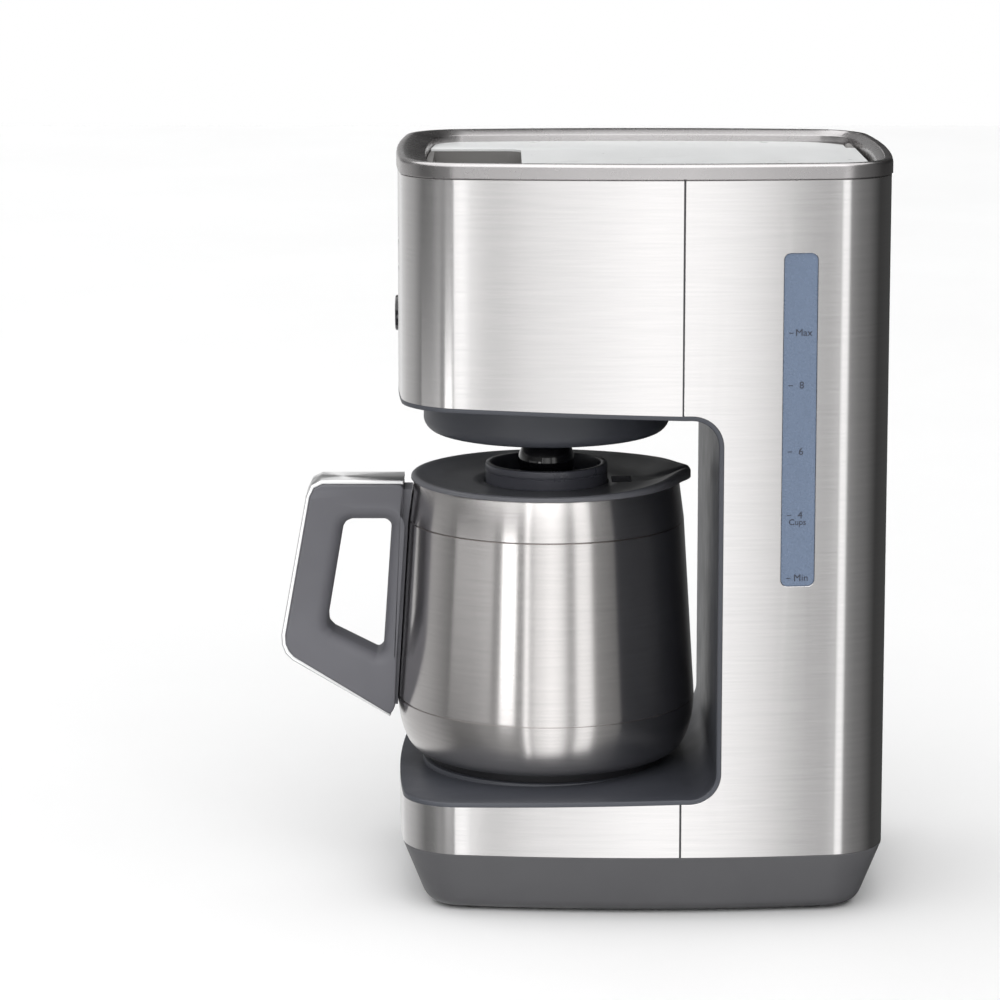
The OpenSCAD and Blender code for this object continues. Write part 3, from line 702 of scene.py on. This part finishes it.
def make_pot():
    base = [(0, -2.1), (48, -2.1), (48, -4.1), (57.4, -4.1), (57.9, -3.9), (58, -3.4), (58, 0), (0, 0)]
    base = [(r * MM, BASE_Z + d * MM) for r, d in base]
    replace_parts(lathe("pot_foot", base, "carafe", BLACK), "carafe_base")
    skin = 0.9 * MM
    rise = GROOVE_LOW - BASE_Z
    outer = [(0, BASE_Z), (FOOT_R - 1.2 * MM, BASE_Z), (FOOT_R - 0.4 * MM, BASE_Z + 0.15 * MM)]
    for k in range(1, 19):
        a = math.radians(5 * k)
        wide = FOOT_R + (CARAFE_R - FOOT_R) * math.sin(a)
        outer.append((wide, BASE_Z + rise * (1 - math.cos(a))))
    groove = [(0, -0.5), (-0.75, -0.3), (-0.75, 0.3), (0, 0.5)]
    outer = outer[:-1] + [(CARAFE_R + r * MM, GROOVE_LOW + d * MM) for r, d in groove]
    for share in (0.25, 0.5, 0.75):
        wide = CARAFE_R + (SHOULDER_R - CARAFE_R) * share
        outer.append((wide, GROOVE_LOW + (GROOVE_HIGH - GROOVE_LOW) * share))
    outer.append((SHOULDER_R + 0.02 * MM, GROOVE_HIGH - 0.5 * MM))
    outer.append((SHOULDER_R - 0.7 * MM, GROOVE_HIGH - 0.3 * MM))
    inner = [(SHOULDER_R - skin, GROOVE_HIGH - 0.12 * MM), (CARAFE_R - skin, GROOVE_LOW)]
    inner += [(FOOT_R - skin, BASE_Z + 3 * MM), (FOOT_R - 4 * MM, BASE_Z + skin), (0, BASE_Z + skin)]
    pot = lathe("pot_wall", outer + inner, "carafe", STEEL_POT, steps=192)
    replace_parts(pot, "carafe_shell")
    band_z = [(SHOULDER_R - 0.7 * MM, GROOVE_HIGH), (SHOULDER_R - 0.03 * MM, GROOVE_HIGH + 0.3 * MM)]
    band_z += [(NECK_R, RIM_Z - 0.5 * MM), (NECK_R - 0.2 * MM, RIM_Z - 0.1 * MM), (NECK_R - 0.6 * MM, RIM_Z)]
    band_z += [(59 * MM, RIM_Z), (59 * MM, RIM_Z - 1 * MM), (NECK_R - skin, RIM_Z - 1 * MM)]
    band_z += [(SHOULDER_R - skin - 0.1 * MM, GROOVE_HIGH)]
    shoulder = lathe("pot_shoulder", band_z, "carafe", STEEL_POT, steps=192)
    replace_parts(shoulder, "carafe_shoulder")


def smoothstep(a, b, x):
    t = min(max((x - a) / (b - a), 0), 1)
    return t * t * (3 - 2 * t)


LID_R = 65.3
SPOUT_REACH = 4.4
SPOUT_RISE = 3.0
POUR_HALF = 7


def pot_lid_point(r, z, angle, top):
    """A point of the carafe's lid: round, but drawn out and raised at the spout."""
    off = math.degrees(angle) - 90
    near = math.exp(-((off / 9.5) ** 2))
    wide = math.exp(-((off / 42) ** 2))
    share = smoothstep(50, LID_R - 1, r)
    r += SPOUT_REACH * near * share
    x = r * math.cos(angle)
    if top:
        z += SPOUT_RISE * wide * share
        half = POUR_HALF * (1.1 - 0.75 * smoothstep(44, LID_R + SPOUT_REACH, r))
        channel = (1 - smoothstep(half - 2.5, half + 0.8, abs(x))) * smoothstep(38, 46, r)
        if math.sin(angle) > 0:
            floor = 193.6 + 4.2 * smoothstep(50, LID_R + SPOUT_REACH, r)
            z -= channel * max(z - floor, 0)
    return about_carafe(x * MM, r * math.sin(angle) * MM, z * MM)


def make_pot_lid():
    top = [(30, 192.7), (30.5, 193.2), (36, 193.3), (41, 193.4), (46, 193.7), (50, 194.1), (54, 194.7)]
    top += [(57, 195.1), (59.5, 195.7), (61.3, 196.2), (62.6, 196.5), (63.7, 196.6), (64.6, 196.4)]
    top += [(65.1, 195.9), (LID_R, 195.3)]
    below = [(LID_R, 194.6), (65, 194.3), (58, 194.3), (58, 184), (55.5, 184), (55.5, 191), (33, 190)]
    below += [(33, 184), (30, 184)]
    turn = [2 * math.pi * k / 240 for k in range(240)]
    rings = [[pot_lid_point(r, z, a, True) for a in turn] for r, z in top]
    rings += [[pot_lid_point(r, z, a, False) for a in turn] for r, z in below]
    verts, faces = loft(rings, closed_profile=True)
    lid = mesh_piece("pot_lid", verts, faces, "carafe", POT_LID, smooth=45)
    lo = about_carafe(-8 * MM, 31.5 * MM, 0.17)
    hi = about_carafe(8 * MM, 41 * MM, 0.21)
    cut(lid, box_mesh(lo, hi), smooth=45)
    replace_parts(lid, "carafe_lid")


def make_collar():
    """The screw collar in the middle of the lid, with its dome."""
    wall = [(33.5, 181.5), (33.5, 183.7), (29.4, 183.7), (29.4, 198.1), (29.1, 198.3)]
    wall += [(29.1, 198.7), (29.4, 198.9)]
    wall += [(29.4, 201.3), (29.25, 201.75), (28.8, 202), (26.8, 202), (26.4, 201.8), (26.25, 201.4)]
    wall += [(26.25, 194.5), (25.8, 194), (0, 194), (0, 192), (26.25, 192), (26.25, 181.5)]
    collar = lathe("collar_ring", [(r * MM, z * MM) for r, z in wall], "collar", COLLAR)
    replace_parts(collar, "lid_collar")
    dome_r = 13.6
    dome_z = 202.8
    start = math.asin((194 - dome_z) / dome_r)
    ball = [(0, 194)]
    for k in range(33):
        a = start + (math.pi / 2 - start) * k / 32
        ball.append((dome_r * math.cos(a), dome_z + dome_r * math.sin(a)))
    dome = lathe("steam_dome", [(r * MM, z * MM) for r, z in ball], "collar", GLOSS, steps=96, smooth=60)
    lo = about_carafe(-20 * MM, -2.5 * MM, 196.4 * MM)
    hi = about_carafe(20 * MM, 2.5 * MM, 199.8 * MM)
    cut(dome, box_mesh(lo, hi), smooth=60)
    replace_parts(dome, "lid_dome")


make_pot()
make_pot_lid()
make_collar()

# ---------------------------------------------------------------- carafe handle, drawn in (Y, Z)
SPINE_LINE = ((-85.5, 194.8), (-125, 194.8), (-129.8, 192.6), (-132.4, 187), (-144.8, 119),
    (-144.5, 114), (-142.8, 109.6), (-139.6, 106.4))
GRIP_LINE = ((-85.5, 192.8), (-124.5, 192.8), (-128.4, 191), (-130.5, 186.6), (-142.6, 118.8),
    (-142.4, 114.6), (-141, 111.2), (-138.6, 108.4))
FINGER_GAP = ((-110.4, 175.6), (-94, 175.6), (-91.4, 173.4), (-95.6, 111.6), (-98, 108.9), (-119.6, 119.8),
    (-122.2, 122.6), (-122.4, 126.6), (-114.8, 171.6), (-113.2, 174.4))
GRIP_FOOT = ((-92, 79.6), (-90, 84))
SPINE_TIP = (-92.6, 78.6)


def scaled(points):
    return [(u * MM, v * MM) for u, v in points]


def side_on(u, v, w):
    """Puts a shape drawn in (Y, Z) upright in the frame, with its depth along X."""
    return Vector((w, u, v))


def offset_loop(points, distance):
    """Moves each point of an anticlockwise loop outwards along its own normal."""
    moved, n = [], len(points)
    for k, p in enumerate(points):
        along = (Vector(points[(k + 1) % n]) - Vector(points[k - 1])).normalized()
        moved.append(Vector(p) + Vector((along.y, -along.x)) * distance)
    return moved


def anticlockwise(points):
    area = sum(a[0] * b[1] - b[0] * a[1] for a, b in zip(points, points[1:] + points[:1]))
    return points if area > 0 else points[::-1]


def edge_rings(points, half, radius, way, steps):
    """Rings from the middle of a slab's edge over its rounded rim to its face, on both sides."""
    turn = [math.pi / 2 * k / steps for k in range(steps + 1)]
    front = [(way * radius * (1 - math.cos(a)), half - radius + radius * math.sin(a)) for a in turn]
    rings = [(offset, -w) for offset, w in reversed(front)] + front
    return [[side_on(p.x, p.y, w) for p in offset_loop(points, offset)] for offset, w in rings]


def slab_with_hole(name, outer, hole, depth, outer_edge, hole_edge, body, material):
    """A slab whose outer rim is crisp and whose hole has a wide rounded rim."""
    outer, hole = anticlockwise(outer), anticlockwise(hole)
    verts, faces, ends = [], [], []
    for loop, radius, way in ((outer, outer_edge, -1), (hole, hole_edge, 1)):
        rings = edge_rings(loop, depth / 2, radius, way, 8)
        more, skin = loft(rings)
        start = len(verts)
        verts += more
        faces += [tuple(start + i for i in face) for face in skin]
        n = len(loop)
        ends.append((range(start, start + n), range(len(verts) - n, len(verts))))
    for side in (0, 1):
        picked = [[verts[i] for i in end[side]] for end in ends]
        index = [i for end in ends for i in end[side]]
        faces += [tuple(index[i] for i in face) for face in tessellate_polygon(picked)]
    return mesh_piece(name, verts, faces, body, material, smooth=50)


def make_handle():
    outer = round_profile(scaled(GRIP_LINE + GRIP_FOOT), 2.5 * MM)
    hole = round_profile(scaled(FINGER_GAP), 3.5 * MM, 6)
    grip = slab_with_hole("handle_body", outer, hole, 28 * MM, 0.9 * MM, 6.5 * MM, "carafe", GRIP)
    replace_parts(grip, "handle_grip")
    strip = scaled(SPINE_LINE + (SPINE_TIP, GRIP_FOOT[0]) + tuple(reversed(GRIP_LINE)))
    spine = flat_shape("handle_strip", [strip], 24 * MM, 0.5 * MM, "carafe", STEEL_SATIN, side_on)
    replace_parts(spine, "handle_spine")


make_handle()
refine("handle_bracket", GRIP, 0.5 * MM, "carafe")


# ---------------------------------------------------------------- controls
def about_start(u, v, w):
    """Turns a button's profile about the axis that points out of the front."""
    return Vector((START.x + u, START_FACE - w, START.z + v))


START_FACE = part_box("start_button")[0].y


def make_controls():
    for node in KEYS:
        refine(node, STEEL_SATIN, 0.4 * MM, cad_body(node))
    r = START_R
    face = [(0, 0.35), (r - 2.4 * MM, 0.35), (r - 2 * MM, 0.15), (r - 0.9 * MM, 0)]
    face += [(r - 0.2 * MM, 0.3), (r, 0.8), (r, 9)]
    profile = [(a, -w * MM) for a, w in face] + [(0, -9 * MM)]
    button = lathe("start_cap", profile, "start", GLOSS, place=about_start, steps=96)
    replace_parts(button, "start_button")
    refine("display_lens", GLOSS, 0.3 * MM, "housing")


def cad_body(node):
    """The body a CAD node rides on, from the empty that it hangs from."""
    return frame["nodes"][node].parent.name.split(":")[1]


make_controls()


# ---------------------------------------------------------------- gauge window and its marks
GAUGE_PROUD = GAUGE_HI.x - half_width(GAUGE_LO.y)
MARKS = (("Max", 277.3), ("8", 253.0), ("6", 222.2), ("4", 192.5), ("Min", 163.0))


def on_side(u, v, w):
    """Puts a shape drawn on the gauge on the machine's right side, w out from its surface."""
    y = GAUGE_Y + u
    return Vector((half_width(y) + w, y, GAUGE_Z + v))


def make_gauge():
    face = GAUGE_PROUD
    rings = []
    for pull, out in ((0.0, -3.2), (0.0, -0.1), (0.12, 0.15), (0.4, 0.3), (1.6, None)):
        level = face if out is None else min(out * MM, face)
        loop = rounded_rect(GAUGE_W - 2 * pull * MM, GAUGE_H - 2 * pull * MM, 3 * MM - pull * MM)
        rings.append([on_side(p.x, p.y, level) for p in loop])
    verts, faces = loft(rings, caps=True)
    window = mesh_piece("gauge_lens", verts, faces, "housing", GAUGE, smooth=50)
    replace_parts(window, "gauge_window")


def words(name, text, size, y, z, material, place=on_side, body="housing", lift=0.0):
    """Small printed words or numbers, a hair thick, laid on a surface."""
    curve = bpy.data.curves.new(name, "FONT")
    curve.body = text
    curve.size = size
    curve.align_x = "CENTER"
    curve.align_y = "CENTER"
    curve.extrude = 0.02 * MM
    holder = bpy.data.objects.new(name + "_curve", curve)
    bpy.context.scene.collection.objects.link(holder)
    bpy.context.view_layer.update()
    made = bpy.data.meshes.new_from_object(holder.evaluated_get(bpy.context.evaluated_depsgraph_get()))
    bpy.data.objects.remove(holder)
    verts = [place(y + v.co.x, z + v.co.y, lift + v.co.z) for v in made.vertices]
    faces = [tuple(f.vertices) for f in made.polygons]
    return mesh_piece(name, verts, faces, body, material)


def tick(name, y0, y1, z, thick, lift):
    """A short level line on the gauge."""
    rows = [[on_side(y, z + dz, lift + out) for y, dz, out in (
        (y0, -thick / 2, 0), (y1, -thick / 2, 0), (y1, thick / 2, 0), (y0, thick / 2, 0))]]
    rows.append([on_side(y, z + dz, lift + 0.02 * MM) for y, dz in (
        (y0, -thick / 2), (y1, -thick / 2), (y1, thick / 2), (y0, thick / 2))])
    verts, faces = loft(rows, caps=True)
    return mesh_piece(name, verts, faces, "housing", PRINT)


def make_marks():
    lift = GAUGE_PROUD + 0.03 * MM
    for text, height in MARKS:
        z = height * MM - GAUGE_Z
        tick("tick_" + text, -5.2 * MM, -3.2 * MM, z, 0.35 * MM, lift)
        if len(text) > 1:
            words("mark_" + text, text, 4.6 * MM, 1.6 * MM, z, PRINT, lift=lift)
        else:
            words("mark_" + text, text, 4.6 * MM, 0.9 * MM, z, PRINT, lift=lift)
    words("mark_Cups", "Cups", 3.9 * MM, -0.3 * MM, 189.2 * MM - GAUGE_Z, PRINT, lift=lift)


def on_display(u, v, w):
    """Puts a shape on the display's lens on the front, w out from it."""
    return Vector((LENS.x + u, LENS_LO.y - w, LENS.z + v))


make_gauge()
make_marks()
words("digits", "12:00", 7 * MM, 0, 0, GLOW, place=on_display, lift=0.03 * MM)


# ---------------------------------------------------------------- brew basket bowl
def make_bowl():
    lo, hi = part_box("basket_bowl")
    r, foot, edge, top = (hi.x - lo.x) / 2, lo.z, 221 * MM, hi.z
    bend = 7 * MM
    outer = [(0, foot), (38 * MM, foot), (42 * MM, foot + 0.1 * MM)]
    outer += arc((r - bend, edge + 4 * MM), bend, math.radians(-78), 0, 9)
    outer += [(r, edge + 8 * MM), (r, top - 0.4 * MM), (r - 0.4 * MM, top)]
    inner = [(r - 2.2 * MM, top), (r - 2.4 * MM, edge + 8 * MM), (r - 5 * MM, edge + 3 * MM)]
    inner += [(r - 9 * MM, foot + 2.4 * MM), (0, foot + 2.4 * MM)]
    bowl = lathe("bowl", outer + inner, "housing", LINER, steps=160)
    hole = [about_carafe(4.7 * MM * math.cos(a), 4.7 * MM * math.sin(a), 0) for a in
        (2 * math.pi * k / 32 for k in range(32))]
    rings = [[Vector((p.x, p.y, z)) for p in hole] for z in (foot - 5 * MM, foot + 6 * MM)]
    verts, faces = loft(rings, caps=True)
    cut(bowl, mesh_piece("cutter", verts, faces, "housing", LINER))
    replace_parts(bowl, "basket_bowl")


make_bowl()


# ---------------------------------------------------------------- floor, light and camera
def make_floor():
    steps = 24
    half = 4
    places = [-half + 2 * half * i / steps for i in range(steps + 1)]
    rows = [[Vector((x, y, 0)) for x in places] for y in places]
    verts, faces = grid(rows)
    mesh = bpy.data.meshes.new("floor")
    mesh.from_pydata([tuple(v) for v in verts], [], faces)
    floor = bpy.data.objects.new("floor", mesh)
    bpy.context.scene.collection.objects.link(floor)
    m = Nodes("floor_paint")
    m.link(m.ramp(m.noise(3), (0.90, 0.90, 0.90), (0.92, 0.92, 0.92)), "Base Color")
    m.set(roughness=0.55)
    mesh.materials.append(m.material)
    floor.visible_glossy = False


def sky_light():
    """One very wide soft light from overhead."""
    lamp = bpy.data.lights.new("sky", "SUN")
    lamp.energy = 2.9
    lamp.angle = math.radians(110)
    holder = bpy.data.objects.new("sky", lamp)
    holder.rotation_euler = (math.radians(8), math.radians(12), 0)
    bpy.context.scene.collection.objects.link(holder)


def reflector(name, where, aim, size, level):
    """A lit card that is only seen as a reflection in glossy surfaces."""
    lamp = bpy.data.lights.new(name, "AREA")
    lamp.shape = "RECTANGLE"
    lamp.size, lamp.size_y = size
    lamp.energy = level * math.pi * size[0] * size[1]
    holder = bpy.data.objects.new(name, lamp)
    holder.location = where
    holder.rotation_euler = (Vector(aim) - Vector(where)).to_track_quat("-Z", "Y").to_euler()
    holder.visible_camera = False
    holder.visible_diffuse = False
    bpy.context.scene.collection.objects.link(holder)


def make_world():
    """Studio surroundings: the brightness depends on the bearing, and camera rays see near white."""
    world = bpy.data.worlds.new("studio")
    bpy.context.scene.world = world
    world.use_nodes = True
    tree = world.node_tree
    out = tree.nodes["World Output"]
    room = tree.nodes["Background"]
    coords = tree.nodes.new("ShaderNodeTexCoord")
    split = tree.nodes.new("ShaderNodeSeparateXYZ")
    tree.links.new(coords.outputs["Generated"], split.inputs[0])
    bearing = tree.nodes.new("ShaderNodeMath")
    bearing.operation = "ARCTAN2"
    tree.links.new(split.outputs["Y"], bearing.inputs[0])
    tree.links.new(split.outputs["X"], bearing.inputs[1])
    turn = tree.nodes.new("ShaderNodeMapRange")
    turn.inputs["From Min"].default_value = -math.pi
    turn.inputs["From Max"].default_value = math.pi
    tree.links.new(bearing.outputs[0], turn.inputs["Value"])
    ramp = tree.nodes.new("ShaderNodeValToRGB")
    tree.links.new(turn.outputs["Result"], ramp.inputs["Fac"])
    stops = ((-180, 0.8), (-160, 0.8), (-104, 0.42), (-78, 0.12), (-60, 0.15), (-48, 0.26), (-24, 0.28),
        (-18.3, 0.2), (-17, 2.0), (-15, 2.0), (-13.8, 0.35), (-11, 0.6), (-9.5, 0.95), (-4, 1.06), (3, 1.3),
        (9, 1.2), (13, 1.0), (18, 0.38), (22, 0.42), (24, 1.2), (35, 1.2), (38, 0.3), (58, 0.2), (76, 0.16),
        (105, 0.05), (130, 0.06))
    marks = ramp.color_ramp.elements
    while len(marks) > 1:
        marks.remove(marks[-1])
    for k, (bearing_deg, level) in enumerate(stops):
        place = (bearing_deg + 180) / 360
        mark = marks[0] if k == 0 else marks.new(place)
        mark.position = place
        mark.color = (level, level, level, 1)
    above = tree.nodes.new("ShaderNodeMapRange")
    above.inputs["From Max"].default_value = 0.15
    tree.links.new(split.outputs["Z"], above.inputs["Value"])
    behind = tree.nodes.new("ShaderNodeMapRange")
    behind.inputs["From Min"].default_value = 0
    behind.inputs["From Max"].default_value = -0.6
    behind.inputs["To Max"].default_value = 0.65
    tree.links.new(split.outputs["X"], behind.inputs["Value"])
    shade = tree.nodes.new("ShaderNodeMath")
    shade.operation = "MULTIPLY"
    tree.links.new(above.outputs["Result"], shade.inputs[0])
    tree.links.new(behind.outputs["Result"], shade.inputs[1])
    level = tree.nodes.new("ShaderNodeMath")
    level.operation = "SUBTRACT"
    level.inputs[0].default_value = 1.0
    tree.links.new(shade.outputs[0], level.inputs[1])
    tree.links.new(ramp.outputs["Color"], room.inputs["Color"])
    tree.links.new(level.outputs[0], room.inputs["Strength"])
    white = tree.nodes.new("ShaderNodeBackground")
    white.inputs["Color"].default_value = (1, 1, 1, 1)
    white.inputs["Strength"].default_value = 1.0
    path = tree.nodes.new("ShaderNodeLightPath")
    pick = tree.nodes.new("ShaderNodeMixShader")
    tree.links.new(path.outputs["Is Camera Ray"], pick.inputs[0])
    tree.links.new(room.outputs[0], pick.inputs[1])
    tree.links.new(white.outputs[0], pick.inputs[2])
    tree.links.new(pick.outputs[0], out.inputs["Surface"])


def make_camera():
    """The photo's view: from the right, a little above, through a long lens."""
    lens = bpy.data.cameras.new("view")
    lens.sensor_width = 36
    lens.lens = 134.5
    lens.shift_y = -0.12
    camera = bpy.data.objects.new("view", lens)
    camera.location = (1.7741, -0.0392, 0.5259)
    camera.rotation_euler = (math.radians(90 - 9.1), 0, math.radians(90))
    bpy.context.scene.collection.objects.link(camera)
    bpy.context.scene.camera = camera
    bpy.context.scene.view_settings.view_transform = "Standard"


make_floor()
make_world()
sky_light()
reflector("pot_strip", (0.33, -0.192, 0.13), (0.07, -0.035, 0.13), (0.07, 0.15), 2.6)
reflector("pot_glow", (0.24, -0.40, 0.13), (0.03, -0.06, 0.13), (0.28, 0.15), 0.5)
make_camera()
